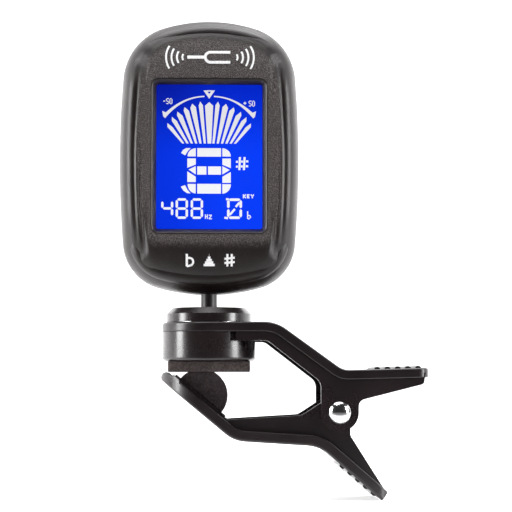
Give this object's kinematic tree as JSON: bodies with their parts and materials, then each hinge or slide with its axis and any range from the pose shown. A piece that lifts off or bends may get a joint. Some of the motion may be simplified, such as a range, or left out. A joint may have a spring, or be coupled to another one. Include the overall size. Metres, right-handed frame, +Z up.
{
  "type": "clip-on instrument tuner",
  "caption": "Clip-on tuner: a display head on a ball stem and swivel collar, over a sprung clip with rubber pads that grips an instrument's headstock.",
  "frame": {"origin": "on the swivel axis, at the lower face of the flat pad that rests on the headstock", "axes": "+Z up the swivel axis, +X towards the clip's handles, display faces -Y"},
  "size_m": [0.068, 0.022, 0.1065],
  "materials": {
    "case_plastic": "fine spark-eroded texture, satin",
    "gloss_plastic": "polished",
    "lever_plastic": "satin moulded",
    "pad_rubber": "rough",
    "grip_rubber": "matte",
    "chrome": "polished",
    "spring_steel": "bright drawn",
    "seat_plastic": "natural acetal",
    "stem_metal": "black satin",
    "wire_cover": "soft PVC",
    "brass": "rolled",
    "ceramic": "silvered ceramic",
    "window": "clear acrylic",
    "lcd": "blue negative display, white segments",
    "light_guide": "frosted acrylic",
    "led": "white package",
    "contact_rubber": "layered conductive silicone",
    "board": "green solder mask",
    "chip_resin": "black epoxy",
    "cell_steel": "plated can",
    "screw_steel": "black zinc",
    "button_plastic": "satin",
    "plunger_plastic": "moulded"
  },
  "bodies": {
    "clip": {"upper_jaw": "lever_plastic", "sensor_cup": "gloss_plastic", "headstock_pad": "pad_rubber", "piezo_plate": "brass", "piezo_ceramic": "ceramic", "sensor_lead": "wire_cover", "friction_washer": "spring_steel", "pivot_pin": "chrome", "pin_cap": "chrome", "torsion_spring": "spring_steel"},
    "jaw": {"lower_jaw": "lever_plastic", "pad_carrier": "lever_plastic", "grip_pad": "grip_rubber"},
    "collar": {"swivel_collar": "gloss_plastic", "seat_upper": "seat_plastic", "seat_lower": "seat_plastic", "seat_ring": "seat_plastic", "swivel_clip": "spring_steel"},
    "head": {"front_case": "case_plastic", "rear_case": "case_plastic", "display_window": "window", "lcd_panel": "lcd", "light_guide": "light_guide", "backlight_leds": "led", "lcd_frame": "seat_plastic", "contact_rubber": "contact_rubber", "circuit_board": "board", "controller_chip": "chip_resin", "board_components": "chip_resin", "tact_switches": "chip_resin", "coin_cell": "cell_steel", "negative_contact": "spring_steel", "positive_contact": "spring_steel", "case_screws": "screw_steel", "ball_stem": "stem_metal", "stem_lead": "wire_cover"},
    "cell_cap": {"battery_cap": "case_plastic"},
    "power_key": {"power_button": "button_plastic", "power_plunger": "plunger_plastic"},
    "down_key": {"down_button": "button_plastic", "down_plunger": "plunger_plastic"},
    "up_key": {"up_button": "button_plastic", "up_plunger": "plunger_plastic"}
  },
  "joints": [
    {"name": "jaw_hinge", "type": "hinge", "parent": "clip", "child": "jaw", "pos_m": [0.02849, 0, -0.00887], "axis": [0, -1, 0], "range_deg": [0, 36], "stiffness_Nm_per_rad": 0.25, "springref_deg": -34.38, "deforming": ["torsion_spring"]},
    {"name": "collar_swivel", "type": "hinge", "parent": "clip", "child": "collar", "pos_m": [0, 0, 0.01105], "axis": [0, 0, 1], "range_deg": [-170, 170]},
    {"name": "head_tilt", "type": "hinge", "parent": "collar", "child": "head", "pos_m": [0, 0, 0.01105], "axis": [1, 0, 0], "range_deg": [-20, 20]},
    {"name": "cap_turn", "type": "hinge", "parent": "head", "child": "cell_cap", "pos_m": [0, 0.0055, 0.052], "axis": [0, -1, 0], "range_deg": [0, 45]},
    {"name": "power_press", "type": "slide", "parent": "head", "child": "power_key", "axis": [0, -1, 0], "range_m": [0, 0.0004], "stiffness_N_per_m": 1500, "springref_m": -0.0002},
    {"name": "down_press", "type": "slide", "parent": "head", "child": "down_key", "axis": [0, -1, 0], "range_m": [0, 0.0004], "stiffness_N_per_m": 1500, "springref_m": -0.0002},
    {"name": "up_press", "type": "slide", "parent": "head", "child": "up_key", "axis": [0, -1, 0], "range_m": [0, 0.0004], "stiffness_N_per_m": 1500, "springref_m": -0.0002}
  ]
}
